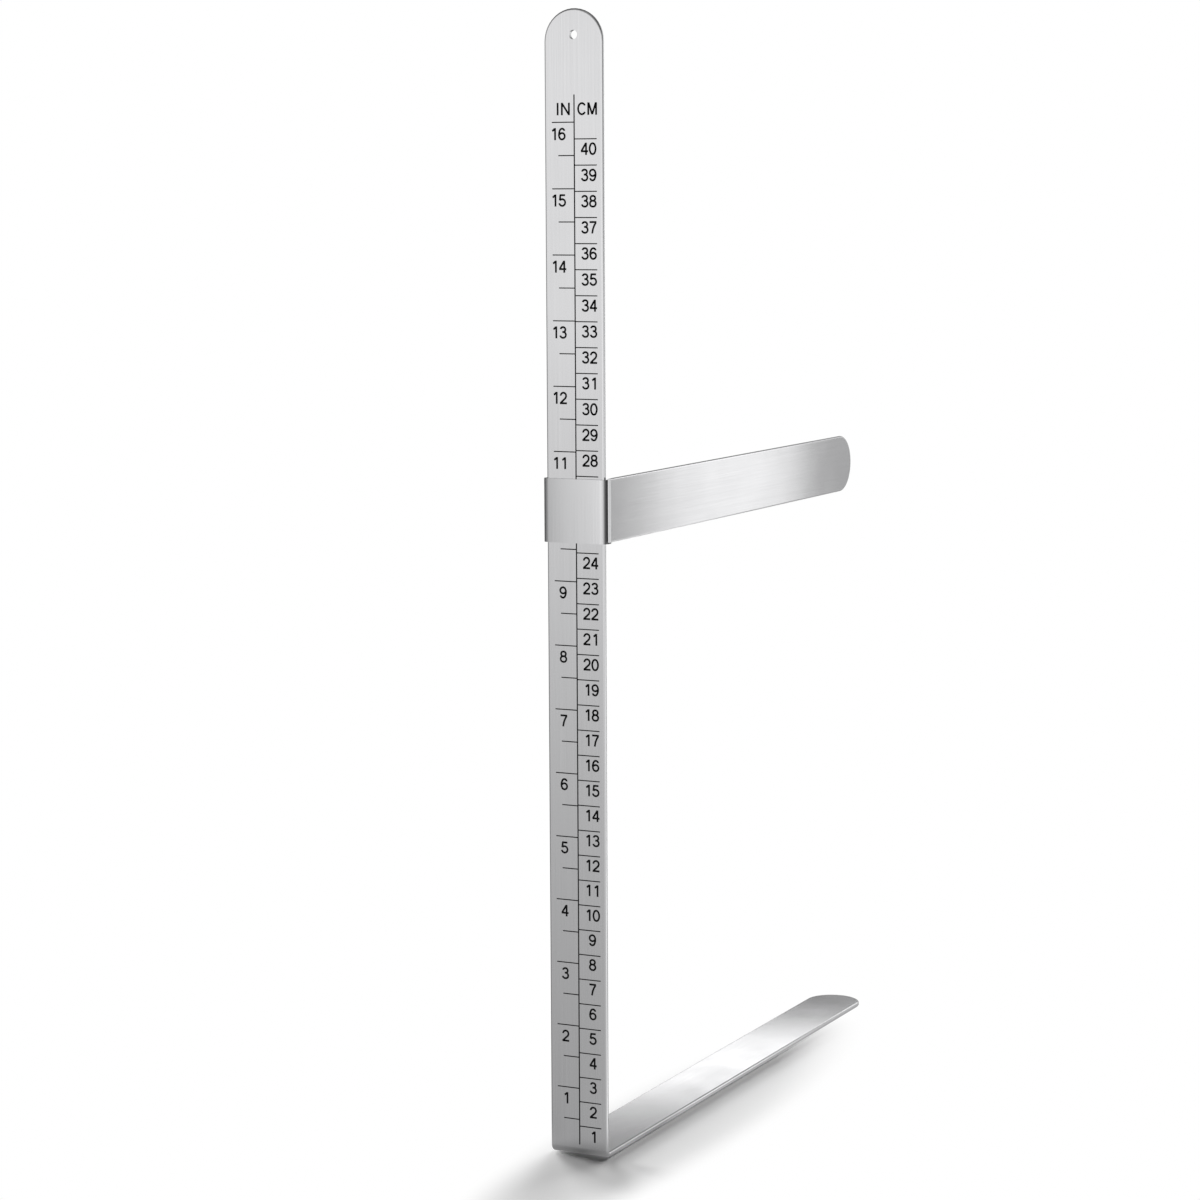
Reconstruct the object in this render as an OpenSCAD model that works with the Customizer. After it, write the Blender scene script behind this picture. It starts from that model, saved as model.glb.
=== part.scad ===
// Body caliper: a graduated rule bent into a fixed arm, and a slider with a second arm.
// Sizes are millimetres. The origin is the middle of the fixed arm's flat underside.
// +Z is up along the rule, +Y points from the rule to the arm tips, +X is across the rule.

/* [Rule and fixed arm] */
// Width of the strip that the rule and the fixed arm are bent from
strip_w = 25; // [18:0.5:36]
// Thickness of that strip
strip_t = 2; // [1.2:0.1:3]
// Radius of that strip's rounded edges
strip_edge_r = 0.8; // [0.2:0.1:1.2]
// Height of the rule's top end above the fixed arm's measuring face
rule_h = 449.6; // [300:0.1:700]
// Reach of the fixed arm from the back of the rule to its tip
fixed_reach = 280; // [120:1:400]
// Inside radius of the bend between the rule and the fixed arm
bend_in_r = 1; // [0.8:0.1:8]
// Diameter of the hanging hole
hole_d = 3.5; // [2:0.1:8]
// Distance from the rule's top end down to the middle of the hanging hole
hole_drop = 10; // [7:0.1:14]

/* [Slider sleeve] */
// Height of the sleeve along the rule
sleeve_h = 25; // [16:0.5:45]
// Thickness of the sheet that the sleeve is folded from
sheet_t = 1.2; // [0.8:0.1:1.6]
// Inside radius of the sleeve's corners
sleeve_corner_r = 1.6; // [0.8:0.1:1.6]
// Least gap between the sleeve's corners and the rule's rounded edges
corner_gap = 0.05; // [0.02:0.01:0.1]
// Running gap between the sleeve and each side of the rule
side_gap = 0.25; // [0.15:0.05:0.6]
// Running gap between the sleeve and the front of the rule
front_gap = 0.3; // [0.15:0.05:0.6]
// Room for the spring between the back of the rule and the sleeve's back wall
spring_room = 1.2; // [1:0.05:2]
// Inside radius of the fold where the back wall turns into the inner tab
tab_fold_r = 1.2; // [0.6:0.1:2]
// Length of the sleeve's tabs behind the back of the rule
tab_len = 30; // [15:1:60]
// Step by which the tabs are lower than the sleeve, above and below
tab_step = 2.5; // [1:0.1:5]
// Radius of the tabs' rounded end corners
tab_end_r = 4; // [1:0.1:6]
// Distance behind the rule at which the sheet narrows to the height of the tabs
tab_start = 1; // [0.5:0.1:3]

/* [Sliding arm] */
// Width of the sliding arm's strip
arm_w = 25; // [18:0.5:36]
// Thickness of the sliding arm's strip
arm_t = 1.5; // [1:0.1:3]
// Radius of the sliding arm's rounded edges
arm_edge_r = 0.7; // [0.2:0.1:1.2]
// Reach of the sliding arm from the back of the rule to its tip
arm_reach = 249; // [120:1:400]
// Distance that the arm's square end stands forward of the back of the rule
arm_lead = 2.5; // [1.5:0.1:3]
// Height of the arm's lower edge above the sleeve's lower edge
arm_rise = 0.7; // [0:0.1:2]
// Gap between the fixed arm's measuring face and the sliding arm's lower edge as drawn
opening = 244.6; // [60:0.1:270]

/* [Friction spring] */
// Thickness of the spring leaf
spring_t = 0.4; // [0.3:0.05:0.5]
// Width of the spring leaf
spring_w = 12; // [6:0.5:16]
// Gap left between the spring's crown and the back of the rule
crown_gap = 0.1; // [0.05:0.01:0.15]
// Gap left between the flat ends of the leaf and the sleeve's back wall
leaf_gap = 0.05; // [0.03:0.01:0.08]
// Length of each flat end, from the bow to the edge of the wall
land_len = 2; // [1:0.1:4]
// Inside radius of the spring's hooks
hook_r = 0.2; // [0.15:0.01:0.25]
// Gap between the hooks and the edges of the sleeve's back wall
hook_gap = 0.15; // [0.1:0.01:0.2]
// Length of the lip that holds the spring behind the back wall
lip_len = 3; // [1.5:0.1:5]

/* [Hidden] */

// The strips' edges never round further than half of the thickness allows
strip_r = min(strip_edge_r, 0.45 * strip_t);
arm_r = min(arm_edge_r, 0.45 * arm_t);

// Middle of the fixed arm's flat underside, measured back from the rule's front face
foot_y = strip_t + (bend_in_r + fixed_reach) / 2;

// Inner faces of the sleeve round the rule
inner_x = strip_w / 2 + side_gap;
inner_front = -front_gap;
inner_back = strip_t + spring_room;
outer_back = inner_back + sheet_t;
inner_d = inner_back - inner_front;
tab_end = strip_t + tab_len;

// The largest inside radius at which a corner still clears the rule's rounded edge
gap_sum = side_gap + front_gap - corner_gap;
gap_squares = pow(side_gap, 2) + pow(front_gap, 2) - pow(corner_gap, 2);
clear_corner_r = strip_r + gap_sum + sqrt(pow(gap_sum, 2) - gap_squares);
corner_in_r = min(sleeve_corner_r, clear_corner_r, 0.48 * inner_d);

// Heights above the measuring face
sleeve_z = opening - arm_rise;
sleeve_mid = sleeve_z + sleeve_h / 2;

// The sliding arm lies on the outside of the outer tab
arm_x = inner_x + sheet_t;
arm_end_len = 2 * arm_t;

// The spring leaf bows towards the rule between two flat ends, which lie along the
// inside of the back wall and hook over its edges
leaf_back = inner_back - leaf_gap;
bow = leaf_back - spring_t - crown_gap - strip_t;
bow_half = sleeve_h / 2 - land_len;
bow_r = (bow_half * bow_half + bow * bow) / (2 * bow);
land_z = bow_half - bow * spring_t / (2 * bow_half);
hook_z = sleeve_h / 2 + hook_gap - hook_r;
hook_run = outer_back + hook_gap - leaf_back - 2 * hook_r;

// Smoothness of small edges, of bends and of the round ends
fine = 24;
bend_fn = 64;
round_fn = 128;
// Oversize of a cutting tool past the faces that it cuts
cut = 1;

// Moves a piece from the rule's frame, whose origin is on the rule's front face
// at the height of the measuring face, to the part's own frame
module in_frame() {
    translate([0, -foot_y, strip_t]) children();
}

// Cross-section of a strip of width w and thickness t, its edges rounded by r
module strip_section(w, t, r) {
    translate([-w / 2 + r, 0]) square([w - 2 * r, t]);
    translate([-w / 2, r]) square([w, t - 2 * r]);
    for (x = [-w / 2 + r, w / 2 - r], y = [r, t - r]) {
        translate([x, y]) circle(r, $fn = fine);
    }
}

// Half of that cross-section, from its middle to one edge, for turning
module half_section(w, t, r) {
    square([w / 2 - r, t]);
    translate([0, r]) square([w / 2, t - 2 * r]);
    for (y = [r, t - r]) {
        translate([w / 2 - r, y]) circle(r, $fn = fine);
    }
}

// Straight strip along +Z, its thickness along +Y
module strip_run(w, t, r, length) {
    linear_extrude(length) strip_section(w, t, r);
}

// Half-round end of a strip, rising from z = 0
module strip_tip(w, t, r) {
    translate([0, t, 0]) rotate([90, 0, 0])
        rotate_extrude(angle = 180, $fn = round_fn) half_section(w, t, r);
}

// Square end of a strip, its last edge rounded like the long ones
module strip_butt(w, t, r, length) {
    intersection() {
        strip_run(w, t, r, length);
        translate([-w / 2 - cut, 0, 0]) rotate([90, 0, 90]) linear_extrude(w + 2 * cut) {
            translate([0, r]) square([t, length + cut - r]);
            translate([r, 0]) square([t - 2 * r, r + cut]);
            for (y = [r, t - r]) {
                translate([y, r]) circle(r, $fn = fine);
            }
        }
    }
}

// Sheet of thickness t and height h folded along a list of moves.
// Each move is a straight length, a turn in degrees (left is positive) and an inside radius.
module folded_sheet(moves, t, h, i = 0) {
    if (i < len(moves)) {
        run = moves[i][0];
        turn = moves[i][1];
        r = moves[i][2];
        pivot = [run, turn > 0 ? t + r : -r, 0];
        if (run > 0) cube([run, t, h]);
        if (turn != 0) {
            translate(pivot) rotate(turn > 0 ? -90 : 90)
                rotate_extrude(angle = turn, $fn = bend_fn) translate([r, 0]) square([t, h]);
        }
        translate(pivot) rotate(turn) translate([0, -pivot[1], 0])
            folded_sheet(moves, t, h, i + 1);
    }
}

// One strip: rule, right-angle bend and fixed arm, with both ends half round
module graduated_rule() {
    top_run = rule_h - strip_w / 2;
    color("silver") in_frame() difference() {
        union() {
            translate([0, 0, bend_in_r]) strip_run(strip_w, strip_t, strip_r, top_run - bend_in_r);
            translate([0, 0, top_run]) strip_tip(strip_w, strip_t, strip_r);
            translate([0, strip_t + bend_in_r, bend_in_r]) rotate([-90, 0, -90])
                rotate_extrude(angle = 90, $fn = bend_fn)
                    translate([bend_in_r + strip_t, 0]) rotate(90)
                        strip_section(strip_w, strip_t, strip_r);
            translate([0, strip_t + bend_in_r, 0]) rotate([-90, 0, 0])
                strip_run(strip_w, strip_t, strip_r, fixed_reach - bend_in_r - strip_w / 2);
            translate([0, strip_t + fixed_reach - strip_w / 2, 0]) rotate([-90, 0, 0])
                strip_tip(strip_w, strip_t, strip_r);
        }
        translate([0, -cut, rule_h - hole_drop]) rotate([-90, 0, 0])
            cylinder(h = strip_t + 2 * cut, d = hole_d, $fn = bend_fn);
    }
}

// Removes one end corner of a tab, leaving it round: the corner is at the origin,
// and the tab lies towards -Y and, for a side of 1, below it
module tab_corner_cut(side) {
    thick = 2 * sheet_t + 2 * cut;
    mirror([0, 0, side > 0 ? 0 : 1]) translate([-thick + cut, -tab_end_r, -tab_end_r]) difference() {
        cube([thick, tab_end_r + cut, tab_end_r + cut]);
        translate([-cut, 0, 0]) rotate([0, 90, 0])
            cylinder(h = thick + 2 * cut, r = tab_end_r, $fn = bend_fn);
    }
}

// Sheet folded round the rule: outer tab, right wall, front, left wall, back, inner tab
module slider_sleeve() {
    inner_w = 2 * inner_x;
    fold_y = inner_back + tab_fold_r + sheet_t;
    moves = [
        [tab_end - inner_front - corner_in_r, -90, corner_in_r],
        [inner_w - 2 * corner_in_r, -90, corner_in_r],
        [inner_d - 2 * corner_in_r, -90, corner_in_r],
        [inner_w - corner_in_r - tab_fold_r - sheet_t, 90, tab_fold_r],
        [tab_end - fold_y, 0, 0],
    ];
    tab_y = strip_t + tab_start;
    notch_x = inner_x - sheet_t - tab_fold_r;
    color("gainsboro") in_frame() translate([0, 0, sleeve_z]) difference() {
        translate([inner_x, tab_end, 0]) rotate(-90) folded_sheet(moves, sheet_t, sleeve_h);
        for (z = [-cut, sleeve_h - tab_step]) {
            translate([notch_x, tab_y, z])
                cube([arm_x + cut - notch_x, tab_end - tab_y + cut, tab_step + cut]);
        }
        translate([arm_x, tab_end, sleeve_h - tab_step]) tab_corner_cut(1);
        translate([arm_x, tab_end, tab_step]) tab_corner_cut(-1);
    }
}

// Flat strip on edge beside the rule, square at the sleeve and half round at its tip
module sliding_arm() {
    start_y = strip_t - arm_lead;
    round_y = strip_t + arm_reach - arm_w / 2;
    color("silver") in_frame() translate([arm_x, start_y, opening + arm_w / 2])
        rotate([0, -90, -90]) {
            strip_butt(arm_w, arm_t, arm_r, arm_end_len);
            translate([0, 0, arm_end_len])
                strip_run(arm_w, arm_t, arm_r, round_y - start_y - arm_end_len);
            translate([0, 0, round_y - start_y]) strip_tip(arm_w, arm_t, arm_r);
        }
}

// Edge view of the leaf's bow, its crown at the origin and its flat ends above
module bow_profile() {
    intersection() {
        translate([-sleeve_h / 2, 0]) square([sleeve_h, bow + spring_t]);
        translate([0, bow_r]) difference() {
            circle(bow_r, $fn = round_fn);
            circle(bow_r - spring_t, $fn = round_fn);
        }
    }
}

// Bowed leaf behind the rule, hooked over both edges of the sleeve's back wall
module friction_spring() {
    moves = [
        [hook_z - land_z, -90, hook_r],
        [hook_run, -90, hook_r],
        [lip_len, 0, 0],
    ];
    color("gray") in_frame() translate([0, 0, sleeve_mid]) {
        translate([spring_w / 2, strip_t + crown_gap, 0]) rotate([0, -90, 0])
            linear_extrude(spring_w) bow_profile();
        for (flip = [0, 1]) {
            mirror([0, 0, flip]) translate([-spring_w / 2, leaf_back, land_z]) rotate([180, -90, 0])
                folded_sheet(moves, spring_t, spring_w);
        }
    }
}

graduated_rule();
slider_sleeve();
sliding_arm();
friction_spring();
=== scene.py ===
# %% [markdown]
# # Body caliper in brushed aluminium
# A body caliper is a flat ruler strip, bent at its foot into a fixed arm, with a slider that
# carries a second arm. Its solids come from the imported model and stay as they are. This lesson
# gives them their metal, prints the scale on the rule, and lights and frames the result.

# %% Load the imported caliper
import math

import bmesh
import bpy
from mathutils import Matrix, Vector


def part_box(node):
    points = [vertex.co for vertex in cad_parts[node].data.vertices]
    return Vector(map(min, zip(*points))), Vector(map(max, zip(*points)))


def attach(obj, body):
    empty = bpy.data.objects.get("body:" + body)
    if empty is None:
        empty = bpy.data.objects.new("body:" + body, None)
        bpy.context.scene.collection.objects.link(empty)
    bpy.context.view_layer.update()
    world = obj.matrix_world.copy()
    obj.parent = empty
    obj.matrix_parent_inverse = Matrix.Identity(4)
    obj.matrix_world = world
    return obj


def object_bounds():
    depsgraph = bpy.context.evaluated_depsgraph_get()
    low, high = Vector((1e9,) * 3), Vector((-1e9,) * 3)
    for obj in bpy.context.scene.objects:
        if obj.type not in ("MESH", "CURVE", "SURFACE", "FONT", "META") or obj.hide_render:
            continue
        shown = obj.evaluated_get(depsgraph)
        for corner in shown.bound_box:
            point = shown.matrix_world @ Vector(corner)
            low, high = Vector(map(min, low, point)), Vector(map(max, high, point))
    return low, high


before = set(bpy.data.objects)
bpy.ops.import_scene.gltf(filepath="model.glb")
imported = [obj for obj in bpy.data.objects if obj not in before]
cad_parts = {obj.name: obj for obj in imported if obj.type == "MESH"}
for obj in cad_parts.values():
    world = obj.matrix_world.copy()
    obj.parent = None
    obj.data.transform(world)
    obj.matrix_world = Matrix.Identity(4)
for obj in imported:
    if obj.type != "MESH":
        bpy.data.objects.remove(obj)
cad_low, cad_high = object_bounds()
scene = bpy.context.scene

# %% [markdown]
# ## Where the scale starts
# The scale is printed on the front of the rule, and its zero is the upper face of the fixed
# arm, one thickness of the strip above the caliper's underside. Both places could be typed
# in, but the box of the rule gives them exactly, and they follow if the model changes.

# %% Front and zero of the rule
MM = 0.001
STRIP_THICKNESS = 2 * MM
rule_low, rule_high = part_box("graduated_rule")
front_y = rule_low.y
zero_z = rule_low.z + STRIP_THICKNESS
print("the rule's front is at y =", round(front_y, 4), "and its zero at z =", round(zero_z, 4))
print("the rule is", round((rule_high.z - rule_low.z) / MM, 1), "mm tall")

# %% [markdown]
# ## Camera
# The photograph is taken from the right of the rule and a little above it, through a long
# lens. A camera can be aimed with a tracking constraint, but here every printed mark has a
# known height, so the marks fix the camera's place exactly. Its three axes and its distance
# are therefore written out, and a small slide puts the caliper where the photograph has it.

# %% Measured camera
AZIMUTH = math.radians(26.008)
ELEVATION = math.radians(7.107)
ROLL = math.radians(-0.269)
LENS_MM = 98.974
SENSOR_MM = 36.0
DISTANCE = 1.29268
SLIDE = (-0.009256, -0.021272)
AIM = Vector((0.0, front_y, 0.202))
CLIP_START, CLIP_END = 0.01, 100.0
print("the camera looks from", round(math.degrees(AZIMUTH), 1), "degrees to the right")

# %% Place the camera
back = Vector((
    math.sin(AZIMUTH) * math.cos(ELEVATION),
    -math.cos(AZIMUTH) * math.cos(ELEVATION),
    math.sin(ELEVATION),
))
level = Vector((math.cos(AZIMUTH), math.sin(AZIMUTH), 0.0))
upright = back.cross(level)
right = level * math.cos(ROLL) + upright * math.sin(ROLL)
up = upright * math.cos(ROLL) - level * math.sin(ROLL)
place = AIM + back * DISTANCE - right * SLIDE[0] - up * SLIDE[1]

camera_data = bpy.data.cameras.new("photo_camera")
camera_data.sensor_width = SENSOR_MM
camera_data.lens = LENS_MM
camera_data.clip_start = CLIP_START
camera_data.clip_end = CLIP_END
camera = bpy.data.objects.new("photo_camera", camera_data)
scene.collection.objects.link(camera)
turn = Matrix((right, up, back)).transposed().to_4x4()
camera.matrix_world = Matrix.Translation(place) @ turn
scene.camera = camera
print("camera at", [round(v, 3) for v in place])

# %% [markdown]
# ## Small tools for shaders
# Every material and the world are built from nodes, so three tools save much typing: one
# starts an empty material, one makes a ramp of greys, and one multiplies two patterns.


# %% Shader tools
def new_material(name):
    """An empty node material, with its nodes and links."""
    material = bpy.data.materials.new(name)
    material.use_nodes = True
    material.node_tree.nodes.clear()
    return material, material.node_tree.nodes, material.node_tree.links


def graded(nodes, stops):
    """A ramp of greys from a list of places and levels."""
    ramp = nodes.new("ShaderNodeValToRGB")
    elements = ramp.color_ramp.elements
    while len(elements) > 1:
        elements.remove(elements[-1])
    for index, (position, grey) in enumerate(stops):
        stop = elements[0] if index == 0 else elements.new(position)
        stop.position = position
        stop.color = (grey, grey, grey, 1.0)
    return ramp


def multiplied(nodes, links, first, second):
    """Two grey patterns multiplied."""
    product = nodes.new("ShaderNodeVectorMath")
    product.operation = "MULTIPLY"
    links.new(first, product.inputs[0])
    links.new(second, product.inputs[1])
    return product.outputs["Vector"]


print("shader tools are ready")

# %% [markdown]
# ## What the metal mirrors
# Bare metal has hardly a colour of its own: what the eye reads as its shading is the room
# around it. In the photograph the front of the rule is bright, the left edges are dark, and
# the bends carry thin light and dark lines, so the studio was bright in front, dark on the
# left, and had a dark gap on the right between two lighter parts. Real cards and tents could
# be modelled all round, but a ring of greys by compass direction does the same with a few
# numbers. The ring runs from 0, behind the caliper, over 0.25 on its left and 0.5 in front,
# to 0.75 on its right and 1 behind again, and each pair is a place on it and its grey.


# %% Compass ring
def compass_ring(nodes, links, vector, levels):
    """Grey level by the compass direction of a vector, and the vector's height."""
    axes = nodes.new("ShaderNodeSeparateXYZ")
    links.new(vector, axes.inputs["Vector"])
    ahead = nodes.new("ShaderNodeMath")
    ahead.operation = "MULTIPLY"
    ahead.inputs[1].default_value = -1.0
    links.new(axes.outputs["Y"], ahead.inputs[0])
    compass = nodes.new("ShaderNodeMath")
    compass.operation = "ARCTAN2"
    links.new(axes.outputs["X"], compass.inputs[0])
    links.new(ahead.outputs["Value"], compass.inputs[1])
    turn = nodes.new("ShaderNodeMapRange")
    turn.inputs["From Min"].default_value = -math.pi
    turn.inputs["From Max"].default_value = math.pi
    links.new(compass.outputs["Value"], turn.inputs["Value"])
    ring = graded(nodes, levels)
    links.new(turn.outputs["Result"], ring.inputs["Fac"])
    return ring.outputs["Color"], axes.outputs["Z"]


WALLS = (
    (0.0, 0.6), (0.04, 0.3), (0.17, 0.26), (0.25, 0.3), (0.34, 0.45), (0.385, 0.75),
    (0.41, 0.98), (0.5, 1.14), (0.6, 1.05), (0.67, 0.7), (0.73, 0.3), (0.87, 0.3), (0.92, 0.62),
    (0.96, 0.95), (1.0, 0.6),
)
BY_HEIGHT = ((0.0, 1.0), (0.1, 1.0), (0.35, 0.7), (0.5, 0.3), (1.0, 0.3))
print("the walls have", len(WALLS), "levels round the compass")

# %% [markdown]
# ## World
# The camera sees a plain white world, as in the photograph. The metal sees the ring of grey
# walls, which darken upwards like a studio whose light stays low. All other rays get a faint
# fill, which keeps the shadow from going black.

# %% World
WHITE = (1.0, 1.0, 1.0, 1.0)
FILL = 0.04
world = bpy.data.worlds.new("studio")
scene.world = world
world.use_nodes = True
nodes, links = world.node_tree.nodes, world.node_tree.links
nodes.clear()
output = nodes.new("ShaderNodeOutputWorld")
where = nodes.new("ShaderNodeTexCoord")
ring, rise = compass_ring(nodes, links, where.outputs["Generated"], WALLS)
height = graded(nodes, BY_HEIGHT)
links.new(rise, height.inputs["Fac"])
mirrored = nodes.new("ShaderNodeBackground")
walls = multiplied(nodes, links, ring, height.outputs["Color"])
links.new(walls, mirrored.inputs["Color"])
seen = nodes.new("ShaderNodeBackground")
seen.inputs["Color"].default_value = WHITE
fill = nodes.new("ShaderNodeBackground")
fill.inputs["Color"].default_value = (FILL, FILL, FILL, 1.0)
print("the fill is", FILL, "of white")

# %% [markdown]
# ### Three worlds in one
# The three backgrounds could not stand in one room, so each ray is sent to its own. The Light
# Path node knows what kind of ray asks. The walls are shown to mirrored rays only if no matt
# surface was met before, so that they don't throw spots of light on the floor.

# %% Which ray sees which world
rays = nodes.new("ShaderNodeLightPath")
first_bounce = nodes.new("ShaderNodeMath")
first_bounce.operation = "SUBTRACT"
first_bounce.use_clamp = True
links.new(rays.outputs["Is Glossy Ray"], first_bounce.inputs[0])
links.new(rays.outputs["Diffuse Depth"], first_bounce.inputs[1])
for_metal = nodes.new("ShaderNodeMixShader")
links.new(first_bounce.outputs["Value"], for_metal.inputs["Fac"])
links.new(fill.outputs["Background"], for_metal.inputs[1])
links.new(mirrored.outputs["Background"], for_metal.inputs[2])
for_camera = nodes.new("ShaderNodeMixShader")
links.new(rays.outputs["Is Camera Ray"], for_camera.inputs["Fac"])
links.new(for_metal.outputs["Shader"], for_camera.inputs[1])
links.new(seen.outputs["Background"], for_camera.inputs[2])
links.new(for_camera.outputs["Shader"], output.inputs["Surface"])
print("the world has", len(nodes), "nodes")

# %% [markdown]
# ## Floor
# The caliper stands on a white sweep that shows only its soft shadow. A curved backdrop could
# be built, but nothing of it shows, so one large flat sheet does. It lies a hair below the
# foot, so that the two faces don't flicker and the shadow closes under the foot.

# %% Floor sheet
FLOOR_HALF = 12.0
FLOOR_DROP = 0.3 * MM
sheet = bmesh.new()
bmesh.ops.create_grid(sheet, x_segments=1, y_segments=1, size=FLOOR_HALF)
floor_data = bpy.data.meshes.new("floor")
sheet.to_mesh(floor_data)
sheet.free()
floor = bpy.data.objects.new("floor", floor_data)
scene.collection.objects.link(floor)
floor.location.z = cad_low.z - FLOOR_DROP
print("the floor lies at z =", round(floor.location.z, 4))

# %% [markdown]
# ### The floor in the camera
# A shadow catcher would need compositing, so the sheet is plain and matt near the caliper,
# where it takes the shadow, and glows pure white further off. The change from one to the
# other follows an ellipse, five times as long as it is wide, because the caliper and its
# shadow are long from front to back and narrow across.

# %% Floor as the camera sees it
SHADOW_MIDDLE = (0.013, -0.085)
SHADOW_NARROWING = 5.0
FADE_START, FADE_END = 0.1, 0.2
FLOOR_WHITE = 1.1
material, nodes, links = new_material("floor_white")
output = nodes.new("ShaderNodeOutputMaterial")
where = nodes.new("ShaderNodeTexCoord")
round_it = nodes.new("ShaderNodeMapping")
round_it.inputs["Scale"].default_value = (SHADOW_NARROWING, 1.0, 1.0)
round_it.inputs["Location"].default_value = (
    -SHADOW_MIDDLE[0] * SHADOW_NARROWING, -SHADOW_MIDDLE[1], 0.0,
)
links.new(where.outputs["Object"], round_it.inputs["Vector"])
clear = nodes.new("ShaderNodeVectorMath")
clear.operation = "LENGTH"
links.new(round_it.outputs["Vector"], clear.inputs[0])
fade = nodes.new("ShaderNodeMapRange")
fade.interpolation_type = "SMOOTHSTEP"
fade.inputs["From Min"].default_value = FADE_START
fade.inputs["From Max"].default_value = FADE_END
links.new(clear.outputs["Value"], fade.inputs["Value"])
near = nodes.new("ShaderNodeBsdfDiffuse")
near.inputs["Color"].default_value = (FLOOR_WHITE, FLOOR_WHITE, FLOOR_WHITE, 1.0)
far = nodes.new("ShaderNodeEmission")
far.inputs["Color"].default_value = WHITE
shown = nodes.new("ShaderNodeMixShader")
links.new(fade.outputs["Result"], shown.inputs["Fac"])
links.new(near.outputs["BSDF"], shown.inputs[1])
links.new(far.outputs["Emission"], shown.inputs[2])
print("the shadow fades out between", FADE_START, "and", FADE_END, "m")

# %% [markdown]
# ### The floor in the metal
# An upright face mirrors the floor: high up it sees the floor metres away, at the foot only
# centimetres away. In the photograph the rule is lightest at its top and darkens steadily to
# its foot, while its right rim does the opposite. One lamp could not light the front and the
# rim in opposite ways, so the floor has two rings of painted light and shade, one far and one
# near, which blend with distance. The metal sees them glow, unlit by any lamp.

# %% Floor as the metal sees it
FAR_GROUND = (
    (0.0, 0.3), (0.03, 0.05), (0.17, 0.08), (0.25, 0.22), (0.34, 0.42), (0.385, 0.72),
    (0.41, 0.95), (0.45, 1.05), (0.48, 1.3), (0.52, 1.35), (0.6, 1.0), (0.76, 0.85),
    (0.87, 0.8), (0.895, 0.48), (0.955, 0.48), (1.0, 0.3),
)
NEAR_GROUND = (
    (0.0, 0.5), (0.05, 0.2), (0.17, 0.12), (0.25, 0.2), (0.34, 0.3), (0.40, 0.41), (0.46, 0.46),
    (0.5, 0.5), (0.6, 0.55), (0.68, 0.8), (0.76, 1.1), (0.85, 1.2), (0.87, 1.0), (0.895, 0.36),
    (0.96, 0.36), (0.97, 0.6), (1.0, 0.5),
)
BY_DISTANCE = ((0.0, 0.0), (0.06, 0.14), (0.13, 0.31), (0.25, 0.54), (0.5, 0.78), (1.0, 1.0))
FARTHEST = 8.0
distance = nodes.new("ShaderNodeVectorMath")
distance.operation = "LENGTH"
links.new(where.outputs["Object"], distance.inputs[0])
reach = nodes.new("ShaderNodeMapRange")
reach.inputs["From Max"].default_value = FARTHEST
links.new(distance.outputs["Value"], reach.inputs["Value"])
outward = graded(nodes, BY_DISTANCE)
links.new(reach.outputs["Result"], outward.inputs["Fac"])
from_rule = nodes.new("ShaderNodeVectorMath")
from_rule.operation = "SUBTRACT"
from_rule.inputs[1].default_value = (0.0, front_y, 0.0)
links.new(where.outputs["Object"], from_rule.inputs[0])
ground = nodes.new("ShaderNodeMix")
ground.data_type = "RGBA"
links.new(outward.outputs["Color"], ground.inputs["Factor"])
for side, levels in (("A", NEAR_GROUND), ("B", FAR_GROUND)):
    ring = compass_ring(nodes, links, from_rule.outputs["Vector"], levels)[0]
    links.new(ring, ground.inputs[side])
print("the rings blend over", FARTHEST, "m")

# %% [markdown]
# ### Under the foot
# The bend mirrors the floor right in front of it, where all directions of a ring meet in one
# point and would show as a wedge. There the floor has one grey by distance alone, a painted
# shadow that darkens towards the foot.

# %% Floor right under the foot
PAINTED_FOOT_SHADOW = ((0.0, 0.15), (0.17, 0.28), (0.4, 0.45), (1.0, 0.44))
FOOT_START, FOOT_END = 25 * MM, 60 * MM
foot_distance = nodes.new("ShaderNodeVectorMath")
foot_distance.operation = "LENGTH"
links.new(from_rule.outputs["Vector"], foot_distance.inputs[0])
touch = nodes.new("ShaderNodeMapRange")
touch.inputs["From Max"].default_value = FOOT_END
links.new(foot_distance.outputs["Value"], touch.inputs["Value"])
under = graded(nodes, PAINTED_FOOT_SHADOW)
links.new(touch.outputs["Result"], under.inputs["Fac"])
away = nodes.new("ShaderNodeMapRange")
away.inputs["From Min"].default_value = FOOT_START
away.inputs["From Max"].default_value = FOOT_END
links.new(foot_distance.outputs["Value"], away.inputs["Value"])
reflected = nodes.new("ShaderNodeMix")
reflected.data_type = "RGBA"
links.new(away.outputs["Result"], reflected.inputs["Factor"])
links.new(under.outputs["Color"], reflected.inputs["A"])
links.new(ground.outputs["Result"], reflected.inputs["B"])
# The metal sees this floor glow: painted light and a painted shadow, not lit by the lamps.
mirrored = nodes.new("ShaderNodeEmission")
links.new(reflected.outputs["Result"], mirrored.inputs["Color"])
print("the floor darkens within", FOOT_END, "m of the rule")

# %% [markdown]
# ### Three floors in one
# As with the world, each ray gets its own floor: the camera the one with the shadow, the
# metal the rings, and all other rays a plain matt white, which throws a little light back.

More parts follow.
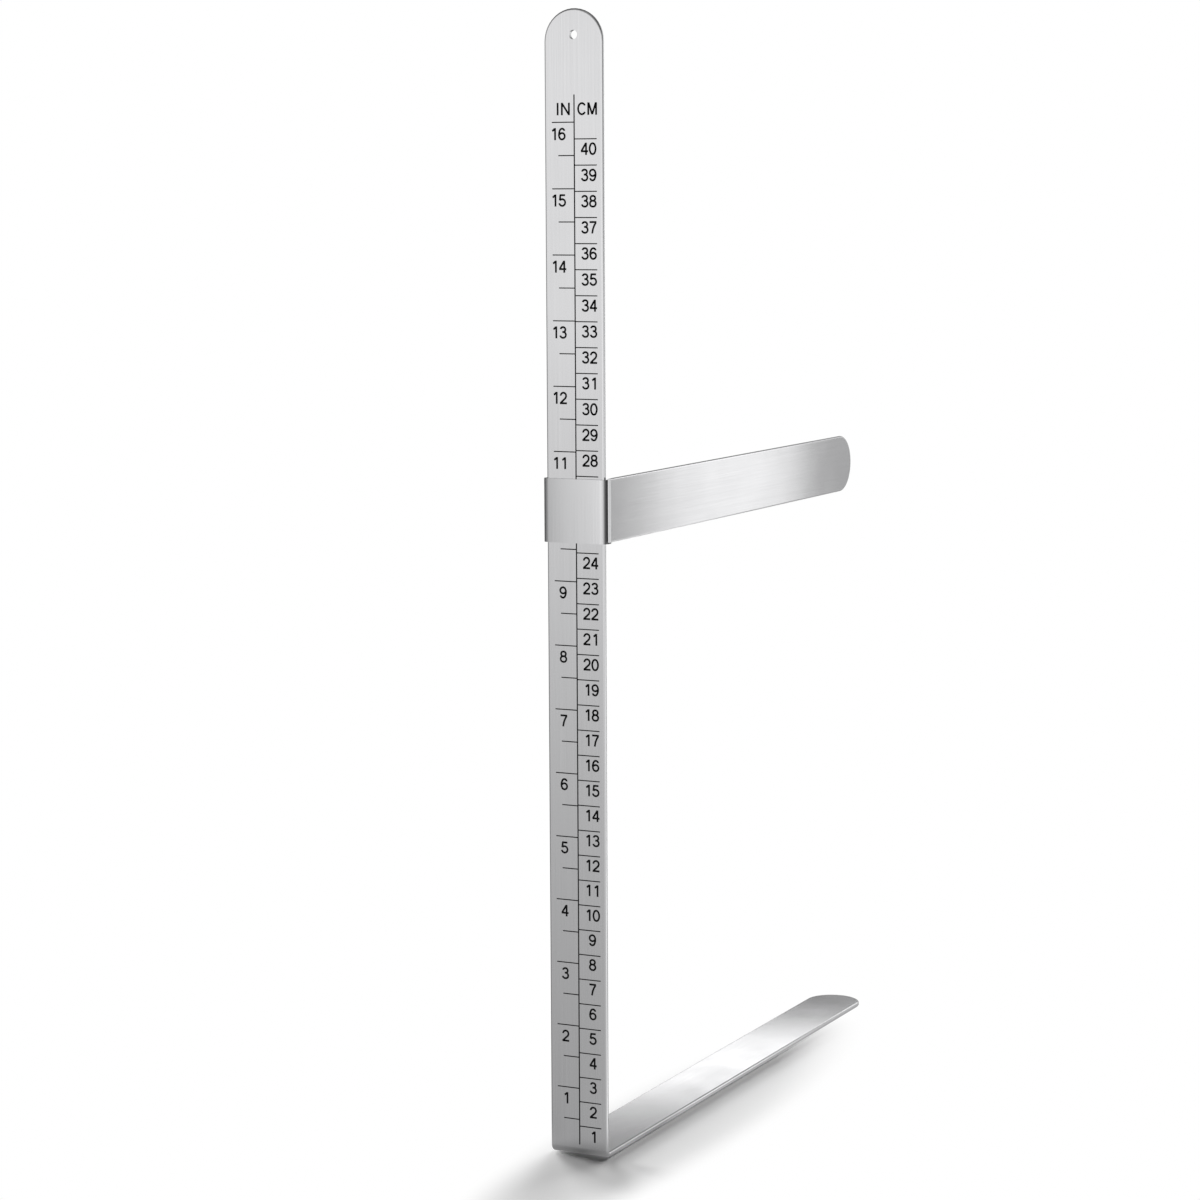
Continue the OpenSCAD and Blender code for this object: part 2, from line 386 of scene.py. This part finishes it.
# %% Which ray sees which floor
PLAIN_WHITE = 0.8
plain = nodes.new("ShaderNodeBsdfDiffuse")
plain.inputs["Color"].default_value = (PLAIN_WHITE, PLAIN_WHITE, PLAIN_WHITE, 1.0)
rays = nodes.new("ShaderNodeLightPath")
for_metal = nodes.new("ShaderNodeMixShader")
links.new(rays.outputs["Is Glossy Ray"], for_metal.inputs["Fac"])
links.new(plain.outputs["BSDF"], for_metal.inputs[1])
links.new(mirrored.outputs["Emission"], for_metal.inputs[2])
for_camera = nodes.new("ShaderNodeMixShader")
links.new(rays.outputs["Is Camera Ray"], for_camera.inputs["Fac"])
links.new(for_metal.outputs["Shader"], for_camera.inputs[1])
links.new(shown.outputs["Shader"], for_camera.inputs[2])
links.new(for_camera.outputs["Shader"], output.inputs["Surface"])
floor_data.materials.append(material)
print("the floor has", len(nodes), "nodes")

# %% [markdown]
# ## Lamps
# The shadow lies in front of the foot and to the right of the fixed arm, and it is soft, so
# the light comes from wide sources low on the left and behind, and one above. Spot lamps
# would give hard edges, so all are rectangles. Each lamp is given as a radiance, the
# brightness of its face, because that is what a mirror shows, and it either lights the matt
# floor or is mirrored in the metal, never both.


# %% Soft lamp
def lamp(name, place, target, size, radiance, in_metal):
    """A soft rectangle of light. It is either mirrored in the metal or lights the floor."""
    light = bpy.data.lights.new(name, "AREA")
    light.shape = "RECTANGLE"
    light.size, light.size_y = size
    light.energy = radiance * math.pi * size[0] * size[1]
    lamp_object = bpy.data.objects.new(name, light)
    scene.collection.objects.link(lamp_object)
    lamp_object.location = place
    aim = Vector(target) - Vector(place)
    lamp_object.rotation_euler = aim.to_track_quat("-Z", "Y").to_euler()
    lamp_object.visible_camera = False
    lamp_object.visible_glossy = in_metal
    lamp_object.visible_diffuse = not in_metal
    print(name, "has", round(light.energy, 2), "W")


# %% Lamps for the shadow
CENTRE = (0.0, 0.0, 0.0)
lamp("window_left", (-1.463, 0.258, 0.209), CENTRE, (0.6, 0.3), 65.8, False)
lamp("softbox_back", (-1.115, 0.936, 0.363), CENTRE, (0.5, 0.5), 33.8, False)
lamp("softbox_top", (0.0, 0.634, 1.36), CENTRE, (0.5, 0.5), 8.0, False)

# %% [markdown]
# ### Light patches on the arms
# The broad light patch in the middle of each arm is the mirror image of a strip light beside
# it. A brighter spot in the rings would light both arms and the rule at once, so each arm has
# a strip of its own, placed where the camera's ray lands after it bounces off the arm.

# %% Strip lights in the arms
lamp("arm_strip", (0.138, 0.243, 0.25), (0.015, -0.02, 0.26), (0.074, 0.5), 0.78, True)
lamp("foot_strip", (-0.117, 0.249, 0.0775), (0.0, -0.02, 0.0), (0.3, 0.037), 1.52, True)

# %% [markdown]
# ## Brushed metal
# Every piece is bare metal with a fine brushed grain: lengthwise on the rule and the sleeve,
# and along the arm. Scanned scratches would need an image, so a noise pattern is squeezed
# hard across the grain until it turns into long hairlines. They change the tone a little and
# stand up by a few thousandths of a millimetre. A second, cloudy noise varies the polish, and
# the anisotropic gloss smears each reflection across the grain, as brushing does.

# %% Grain and polish
ROUGHNESS = 0.2
ROUGHNESS_SPREAD = 0.05
SMEAR = 0.4
SCRATCH_STRENGTH = 0.12
SCRATCH_HEIGHT = 0.02 * MM
DARK_HAIR, LIGHT_HAIR = 0.94, 1.03
DARK_PLACE, LIGHT_PLACE = 0.3, 0.7
HAIR_DETAIL, HAIR_ROUGHNESS = 4.0, 0.7
CLOUD_SCALE, CLOUD_DETAIL = 45.0, 2.0


def brushed(name, colour, grain, across):
    """Brushed metal; the nodes that later cells add to are returned by name."""
    material, nodes, links = new_material(name)
    output = nodes.new("ShaderNodeOutputMaterial")
    shader = nodes.new("ShaderNodeBsdfPrincipled")
    shader.inputs["Metallic"].default_value = 1.0
    shader.inputs["Anisotropic"].default_value = SMEAR
    links.new(shader.outputs["BSDF"], output.inputs["Surface"])
    where = nodes.new("ShaderNodeTexCoord")
    squeeze = nodes.new("ShaderNodeMapping")
    squeeze.inputs["Scale"].default_value = grain
    links.new(where.outputs["Object"], squeeze.inputs["Vector"])
    hairlines = nodes.new("ShaderNodeTexNoise")
    hairlines.inputs["Scale"].default_value = 1.0
    hairlines.inputs["Detail"].default_value = HAIR_DETAIL
    hairlines.inputs["Roughness"].default_value = HAIR_ROUGHNESS
    links.new(squeeze.outputs["Vector"], hairlines.inputs["Vector"])
    tone = nodes.new("ShaderNodeValToRGB")
    for stop, place, factor in zip(
        tone.color_ramp.elements, (DARK_PLACE, LIGHT_PLACE), (DARK_HAIR, LIGHT_HAIR)
    ):
        stop.position = place
        stop.color = (*[c * factor for c in colour], 1.0)
    links.new(hairlines.outputs["Fac"], tone.inputs["Fac"])
    links.new(tone.outputs["Color"], shader.inputs["Base Color"])
    clouds = nodes.new("ShaderNodeTexNoise")
    clouds.inputs["Scale"].default_value = CLOUD_SCALE
    clouds.inputs["Detail"].default_value = CLOUD_DETAIL
    links.new(where.outputs["Object"], clouds.inputs["Vector"])
    polish = nodes.new("ShaderNodeMapRange")
    polish.inputs["To Min"].default_value = ROUGHNESS - ROUGHNESS_SPREAD
    polish.inputs["To Max"].default_value = ROUGHNESS + ROUGHNESS_SPREAD
    links.new(clouds.outputs["Fac"], polish.inputs["Value"])
    links.new(polish.outputs["Result"], shader.inputs["Roughness"])
    scratches = nodes.new("ShaderNodeBump")
    scratches.inputs["Strength"].default_value = SCRATCH_STRENGTH
    scratches.inputs["Distance"].default_value = SCRATCH_HEIGHT
    links.new(hairlines.outputs["Fac"], scratches.inputs["Height"])
    links.new(scratches.outputs["Normal"], shader.inputs["Normal"])
    tangent = nodes.new("ShaderNodeCombineXYZ")
    for axis, value in zip("XYZ", across):
        tangent.inputs[axis].default_value = value
    links.new(tangent.outputs["Vector"], shader.inputs["Tangent"])
    return {
        "material": material, "nodes": nodes, "links": links, "where": where, "tone": tone,
        "shader": shader, "scratches": scratches,
    }


print("brushed metal has a roughness of", ROUGHNESS)

# %% [markdown]
# ### Metal of each piece
# One shared material would run its grain the same way through all pieces, but each strip was
# brushed along its own length, so every piece gets its own, from its colour, the scale of
# its grain along each axis, and the axis across the grain. The hidden leaf is darker steel.

# %% Metal of each piece
ALUMINIUM = (0.74, 0.74, 0.75)
SPRING_STEEL = (0.52, 0.52, 0.53)
FINE, LONG, SHORT = 2500.0, 15.0, 40.0
ALONG_X, ALONG_Z = (1.0, 0.0, 0.0), (0.0, 0.0, 1.0)
METALS = {
    "graduated_rule": (ALUMINIUM, (FINE, LONG, LONG), ALONG_X),
    "slider_sleeve": (ALUMINIUM, (FINE, FINE, LONG), ALONG_X),
    "sliding_arm": (ALUMINIUM, (LONG, LONG, FINE), ALONG_Z),
    "friction_spring": (SPRING_STEEL, (FINE, SHORT, SHORT), ALONG_X),
}
finishes = {}
for node, (colour, grain, across) in METALS.items():
    finishes[node] = brushed(node + "_metal", colour, grain, across)
    metal = finishes[node]["material"]
    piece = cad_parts[node]
    if not piece.data.materials:
        piece.data.materials.append(metal)
    for index in range(len(piece.data.materials)):
        piece.material_slots[index].material = metal
    print(node, "wears", metal.name)

# %% [markdown]
# ### Bowed front and painted shade in the sleeve's corner
# The sleeve is folded from thin sheet, so its front is not quite flat: it bows out a little,
# and its shade runs from darker on the left to lighter on the right. At its right corner the
# fold closes on the end of the arm, and a dark line shows there. A bowed front in the solid
# would be a hair's breadth deep, so a bump gives the same shading. Its height is in metres,
# so its strength and distance are one. The dark line in the corner is painted shade: the
# colour is darkened by its place across the sleeve, where the arm's end would shade the groove.

# %% Sleeve
BOW_RADIUS = 0.09
CORNER_START, CORNER_END = 12.4 * MM, 13.1 * MM
CORNER_SHADE = 0.15
sleeve = finishes["slider_sleeve"]
nodes, links = sleeve["nodes"], sleeve["links"]
across = nodes.new("ShaderNodeSeparateXYZ")
links.new(sleeve["where"].outputs["Object"], across.inputs["Vector"])
square = nodes.new("ShaderNodeMath")
square.operation = "POWER"
square.inputs[1].default_value = 2.0
links.new(across.outputs["X"], square.inputs[0])
drop = nodes.new("ShaderNodeMath")
drop.operation = "MULTIPLY"
drop.inputs[1].default_value = -0.5 / BOW_RADIUS
links.new(square.outputs["Value"], drop.inputs[0])
crown = nodes.new("ShaderNodeBump")
crown.inputs["Strength"].default_value = 1.0
crown.inputs["Distance"].default_value = 1.0
links.new(drop.outputs["Value"], crown.inputs["Height"])
links.new(crown.outputs["Normal"], sleeve["scratches"].inputs["Normal"])
# Painted shade: the base colour darkens across the right corner, in the groove by the arm's end.
corner = nodes.new("ShaderNodeMapRange")
corner.inputs["From Min"].default_value = CORNER_START
corner.inputs["From Max"].default_value = CORNER_END
corner.inputs["To Min"].default_value = 1.0
corner.inputs["To Max"].default_value = CORNER_SHADE
links.new(across.outputs["X"], corner.inputs["Value"])
groove_shaded = nodes.new("ShaderNodeVectorMath")
groove_shaded.operation = "SCALE"
links.new(sleeve["tone"].outputs["Color"], groove_shaded.inputs[0])
links.new(corner.outputs["Result"], groove_shaded.inputs["Scale"])
links.new(groove_shaded.outputs["Vector"], sleeve["shader"].inputs["Base Color"])
print("the sleeve's front bows with a radius of", BOW_RADIUS, "m")

# %% [markdown]
# ### Sheared end of the sliding arm
# Beside that dark line the cut end of the arm shows as a thin bright line. A sheared strip is
# rounded more on one side of its cut than on the other, which turns the end towards the
# light on the right. The end could be cut at a slant in the solid, but it is only a
# millimetre and a half wide, so a bump tilts its shading by that angle, with a strength of
# zero on the rest of the arm.

# %% Arm's end
END_Y = -0.1423
END_TILT = math.radians(35.0)
arm = finishes["sliding_arm"]
nodes, links = arm["nodes"], arm["links"]
along = nodes.new("ShaderNodeSeparateXYZ")
links.new(arm["where"].outputs["Object"], along.inputs["Vector"])
slant = nodes.new("ShaderNodeMath")
slant.operation = "MULTIPLY"
slant.inputs[1].default_value = -math.tan(END_TILT)
links.new(along.outputs["X"], slant.inputs[0])
only_end = nodes.new("ShaderNodeMath")
only_end.operation = "LESS_THAN"
only_end.inputs[1].default_value = END_Y
links.new(along.outputs["Y"], only_end.inputs[0])
tilted = nodes.new("ShaderNodeBump")
tilted.inputs["Distance"].default_value = 1.0
links.new(only_end.outputs["Value"], tilted.inputs["Strength"])
links.new(slant.outputs["Value"], tilted.inputs["Height"])
links.new(tilted.outputs["Normal"], arm["scratches"].inputs["Normal"])
print("the arm's end is tilted by", round(math.degrees(END_TILT)), "degrees")

# %% [markdown]
# ## Ink
# The scale is printed in matt black. It could be a mask in the rule's own material, but real
# thin solids keep sharp edges at any distance, so each mark is a film of ink on the metal.
# The ink is nearly black, with a faint mottle and hardly any gloss.

# %% Ink
INK_ROUGHNESS, INK_GLOSS = 0.8, 0.1
DARK_INK, LIGHT_INK = (0.008, 0.008, 0.009), (0.02, 0.02, 0.021)
MOTTLE_SCALE = 3000.0
ink, nodes, links = new_material("black_ink")
output = nodes.new("ShaderNodeOutputMaterial")
shader = nodes.new("ShaderNodeBsdfPrincipled")
shader.inputs["Roughness"].default_value = INK_ROUGHNESS
shader.inputs["Specular IOR Level"].default_value = INK_GLOSS
links.new(shader.outputs["BSDF"], output.inputs["Surface"])
where = nodes.new("ShaderNodeTexCoord")
mottle = nodes.new("ShaderNodeTexNoise")
mottle.inputs["Scale"].default_value = MOTTLE_SCALE
links.new(where.outputs["Object"], mottle.inputs["Vector"])
tone = nodes.new("ShaderNodeValToRGB")
tone.color_ramp.elements[0].color = (*DARK_INK, 1.0)
tone.color_ramp.elements[1].color = (*LIGHT_INK, 1.0)
links.new(mottle.outputs["Fac"], tone.inputs["Fac"])
links.new(tone.outputs["Color"], shader.inputs["Base Color"])
print("the ink has", len(nodes), "nodes")

# %% [markdown]
# ## Lines of the scale
# A line runs down the middle of the rule. On its right there is a mark at every centimetre,
# on its left a long one at every inch and a short one at every half inch. The lines could be
# an array modifier, but the two scales have different steps, so a loop sets one bar at each
# height, counted from the rule's zero. The bars are merged into one object. Their sizes are
# in millimetres: left and right end, and for the middle line its low and high end too.

# %% Sizes of the lines
INK_THICKNESS = 0.03 * MM
HALF_LINE = 0.21
CENTIMETRE, HALF_INCH = 10.0, 12.7
LAST_CENTIMETRE, LAST_INCH = 40, 16
MIDDLE_LINE = (0.05, 0.55, 2.4, 416.9)
CENTIMETRE_MARK = (0.3, 9.9)
INCH_MARK, HALF_INCH_MARK = (-9.3, 0.3), (-6.6, 0.3)
print("a line is", 2 * HALF_LINE, "mm thick")


# %% Bar of ink
def bar(shape, left, right, low, high):
    """A flat bar of ink on the rule's front, from millimetres in the rule's own frame."""
    made = bmesh.ops.create_cube(shape, size=1.0)
    size = ((right - left) * MM, INK_THICKNESS, (high - low) * MM)
    bmesh.ops.scale(shape, vec=size, verts=made["verts"])
    middle = Vector((
        (left + right) / 2 * MM,
        front_y - INK_THICKNESS / 2,
        zero_z + (low + high) / 2 * MM,
    ))
    bmesh.ops.translate(shape, vec=middle, verts=made["verts"])


def printed(name, shape):
    """The finished ink as an object that rides on the rule."""
    data = bpy.data.meshes.new(name)
    shape.to_mesh(data)
    shape.free()
    data.materials.append(ink)
    piece = bpy.data.objects.new(name, data)
    scene.collection.objects.link(piece)
    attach(piece, "rule")
    print(name, "has", len(data.polygons), "faces")


# %% Lines
lines = bmesh.new()
bar(lines, *MIDDLE_LINE)
for number in range(1, LAST_CENTIMETRE + 1):
    height = CENTIMETRE * number
    bar(lines, *CENTIMETRE_MARK, height - HALF_LINE, height + HALF_LINE)
for number in range(1, 2 * LAST_INCH + 1):
    height = HALF_INCH * number
    mark = INCH_MARK if number % 2 == 0 else HALF_INCH_MARK
    bar(lines, *mark, height - HALF_LINE, height + HALF_LINE)
printed("scale_lines", lines)

# %% [markdown]
# ## A pen for the numbers
# The numbers are plain sans-serif figures, 4.65 mm tall. Blender's own font has other shapes
# and a text object would have to be converted and pruned, so each figure is drawn with a pen:
# a short edge, the nib, is extruded along lines and spun along arcs and leaves a ribbon of
# even width, which is then raised by the thickness of the ink. Strokes that cross differ a
# little in thickness, so that no two faces lie in one plane.

# %% Pen
STROKE = 0.76
ARC_STEP = 12
MERGE_DISTANCE = 0.002


def sideways(angle):
    """The direction to the left of a pen that heads along an angle."""
    return Vector((-math.sin(angle), 0.0, math.cos(angle)))


def chosen(made, kind):
    """The vertices or the edges in an operator's result."""
    return [item for item in made if isinstance(item, kind)]


def draw(shape, start, heading, moves, depth):
    """One stroke in millimetres. A move is (length, 0) or (radius, degrees to the left)."""
    already = set(shape.faces)
    angle = math.radians(heading)
    point = Vector((start[0], 0.0, start[1]))
    tips = []
    for side in (-STROKE / 2, STROKE / 2):
        corner = point + sideways(angle) * side
        tips += bmesh.ops.create_vert(shape, co=corner)["vert"]
    nib = bmesh.ops.contextual_create(shape, geom=tips)["edges"]
    for reach, degrees in moves:
        if degrees == 0:
            step = Vector((math.cos(angle), 0.0, math.sin(angle))) * reach
            made = bmesh.ops.extrude_edge_only(shape, edges=nib)["geom"]
            tips = chosen(made, bmesh.types.BMVert)
            bmesh.ops.translate(shape, vec=step, verts=tips)
            point += step
        else:
            turn = math.radians(degrees)
            hub = point + sideways(angle) * math.copysign(reach, degrees)
            made = bmesh.ops.spin(
                shape, geom=[*tips, *nib], cent=hub, axis=(0.0, -1.0, 0.0), angle=turn,
                steps=math.ceil(abs(degrees) / ARC_STEP), use_duplicate=False,
            )["geom_last"]
            tips = chosen(made, bmesh.types.BMVert)
            point = hub + Matrix.Rotation(turn, 4, (0.0, -1.0, 0.0)) @ (point - hub)
            angle += turn
        nib = chosen(made, bmesh.types.BMEdge)
    bmesh.ops.remove_doubles(shape, verts=shape.verts[:], dist=MERGE_DISTANCE)
    ribbon = [face for face in shape.faces if face not in already]
    raised = bmesh.ops.extrude_face_region(shape, geom=ribbon, use_keep_orig=True)["geom"]
    tops = chosen(raised, bmesh.types.BMVert)
    bmesh.ops.translate(shape, vec=(0.0, -depth, 0.0), verts=tops)


print("the pen's stroke is", STROKE, "mm wide")

# %% [markdown]
# ## Figures and letters
# Each character is a list of strokes: where the pen starts, from the character's middle,
# which way it heads, and its moves. The nine is the six turned upside down, and the six
# shares its lower bowl. The arcs were fitted to the tall, narrow figures of the photograph.
# The extrusions list their corners and faces in an order that changes from run to run, so
# both are sorted by place at the end, and the mesh comes out the same each time.

# %% Strokes
LOWER_BOWL = ((0.02, -2.045), 0, ((1.23, 90), (1.19, 90), (1.25, 60)))
SIX = (
    ((1.1, 1.206), 100, ((1.015, 80), (1.0, 60), (3.612, 30), (2.489, 30), (1.081, 60))),
    LOWER_BOWL,
)
NINE = tuple(((-x, -z), heading + 180, moves) for (x, z), heading, moves in SIX)
GLYPHS = {
    "0": (((1.27, 0.0), 90, ((3.08, 30.47), (0.98, 119.06), (3.08, 60.94), (0.98, 119.06),
                             (3.08, 30.47))),),
    "1": (((0.58, 2.325), 270, ((4.65, 0),)), ((-0.65, 1.2), 25, ((2.4, 25), (0.25, 0)))),
    "2": (((-1.17, 0.875), 90, ((1.17, -180), (1.5, -48), (2.63, 0))),
          ((-1.53, -2.045), 0, ((3.03, 0),))),
    "3": (((-1.03, 1.308), 78, ((0.93, -78), (0.22, 0), (0.93, -180), (0.4, 0))),
          ((-0.3, 0.185), 0, ((0.42, 0), (1.115, -180), (0.22, 0), (1.115, -78)))),
    "4": (((0.7, 2.325), 270, ((4.65, 0),)), ((-1.5, -0.94), 0, ((3.08, 0),)),
          ((-1.3, -0.9), 57.8, ((3.6, 0),))),
    "5": (((-1.03, 2.045), 0, ((2.25, 0),)), ((-0.78, 2.2), 263.2, ((2.18, 0),)),
          ((-1.015, 0.04), 51, ((1.28, -309),))),
    "6": SIX,
    "7": (((-1.45, 2.045), 0, ((2.92, 0),)), ((1.28, 1.93), 233, ((8.0, 31), (0.27, 0)))),
    "8": (((-0.1, 0.185), 0, ((0.2, 0), (0.93, 180), (0.2, 0), (0.93, 180))),
          ((-0.13, -2.045), 0, ((0.26, 0), (1.115, 180), (0.26, 0), (1.115, 180)))),
    "9": NINE,
    "I": (((0.0, 2.375), 270, ((4.75, 0),)),),
    "N": (((-1.52, 2.375), 270, ((4.75, 0),)), ((1.52, 2.375), 270, ((4.75, 0),)),
          ((-1.5, 2.2), 304.3, ((5.32, 0),))),
    "C": (((1.296, 1.221), 118, ((2.6, 8.87), (1.35, 106.26), (2.6, 73.74), (1.35, 106.26),
                                 (2.6, 8.87))),),
    "M": (((-1.67, 2.375), 270, ((4.75, 0),)), ((1.67, 2.375), 270, ((4.75, 0),)),
          ((-1.55, 2.3), 289.0, ((4.7, 0),)), ((1.55, 2.3), 251.0, ((4.7, 0),))),
}
print("there are", len(GLYPHS), "characters")

# %% Draw the characters
FIRST_DEPTH, DEPTH_STEP = 0.03, 0.004
PLACE_STEPS, PLACE_SPAN = 1000, 10000


def by_place(point, size=0.0):
    """A number that sorts from left to right, front to back, upwards, and then by size."""
    number = 0
    for value in (*point, size):
        number = number * PLACE_SPAN + round(value * PLACE_STEPS)
    return number


glyph_meshes = {}
for character, strokes in GLYPHS.items():
    glyph = bmesh.new()
    for order, (start, heading, moves) in enumerate(strokes):
        draw(glyph, start, heading, moves, FIRST_DEPTH - DEPTH_STEP * order)
    bmesh.ops.recalc_face_normals(glyph, faces=glyph.faces[:])
    glyph.verts.sort(key=lambda vert: by_place(vert.co))
    glyph.faces.sort(key=lambda face: by_place(face.calc_center_median(), face.calc_area()))
    glyph_meshes[character] = bpy.data.meshes.new("glyph_" + character)
    glyph.to_mesh(glyph_meshes[character])
    glyph.free()
print("drawn:", " ".join(sorted(glyph_meshes)))

# %% [markdown]
# ## Numbers on the rule
# A number stands just below its mark, centred on the marks of its side, and its digits are
# 3.5 mm apart. Linked copies of text objects would do, but they would make some sixty
# objects, so the characters are copied into one mesh for each scale.


# %% Write a word
def write(shape, text, middles, height):
    """Put a word on the rule: one middle in millimetres for each of its characters."""
    for character, middle in zip(text, middles):
        first = len(shape.verts)
        shape.from_mesh(glyph_meshes[character])
        shape.verts.ensure_lookup_table()
        new = shape.verts[first:]
        bmesh.ops.translate(shape, vec=(middle, 0.0, height), verts=new)


def print_on_rule(name, shape):
    """Turn millimetres on the rule's face into an object of ink on it."""
    bmesh.ops.scale(shape, vec=(MM, MM, MM), verts=shape.verts[:])
    bmesh.ops.translate(shape, vec=(0.0, front_y, zero_z), verts=shape.verts[:])
    printed(name, shape)


# %% Centimetre numbers
CENTIMETRE_DROP = 3.78
CENTIMETRE_MIDDLES = {1: (6.4,), 2: (4.65, 8.15)}
numbers = bmesh.new()
for number in range(1, LAST_CENTIMETRE + 1):
    text = str(number)
    height = CENTIMETRE * number - CENTIMETRE_DROP
    write(numbers, text, CENTIMETRE_MIDDLES[len(text)], height)
print_on_rule("centimetre_numbers", numbers)

# %% Inch numbers
INCH_DROP = 4.48
INCH_MIDDLES = {1: (-5.65,), 2: (-8.5, -5.0)}
numbers = bmesh.new()
for number in range(1, LAST_INCH + 1):
    text = str(number)
    height = 2 * HALF_INCH * number - INCH_DROP
    write(numbers, text, INCH_MIDDLES[len(text)], height)
print_on_rule("inch_numbers", numbers)

# %% [markdown]
# ### Names of the two units
# The letters at the top say which side counts inches and which centimetres. They are drawn
# with the same pen, a little taller than the numbers. The pen's own meshes are not needed
# any more after that, so they are removed.

# %% Unit letters
LETTER_HEIGHT = 411.45
INCH_LETTERS, CENTIMETRE_LETTERS = (-6.75, -3.41), (3.65, 8.05)
letters = bmesh.new()
write(letters, "IN", INCH_LETTERS, LETTER_HEIGHT)
write(letters, "CM", CENTIMETRE_LETTERS, LETTER_HEIGHT)
print_on_rule("unit_letters", letters)
for mesh in glyph_meshes.values():
    bpy.data.meshes.remove(mesh)
print("the pen's own meshes are gone")

# %% [markdown]
# ## Last settings
# Colours are shown plainly, without a film curve. The ink stands out by less than the
# thickness of a hair, so the dressed caliper still fills the box of its solids.

# %% Finish
scene.view_settings.view_transform = "Standard"
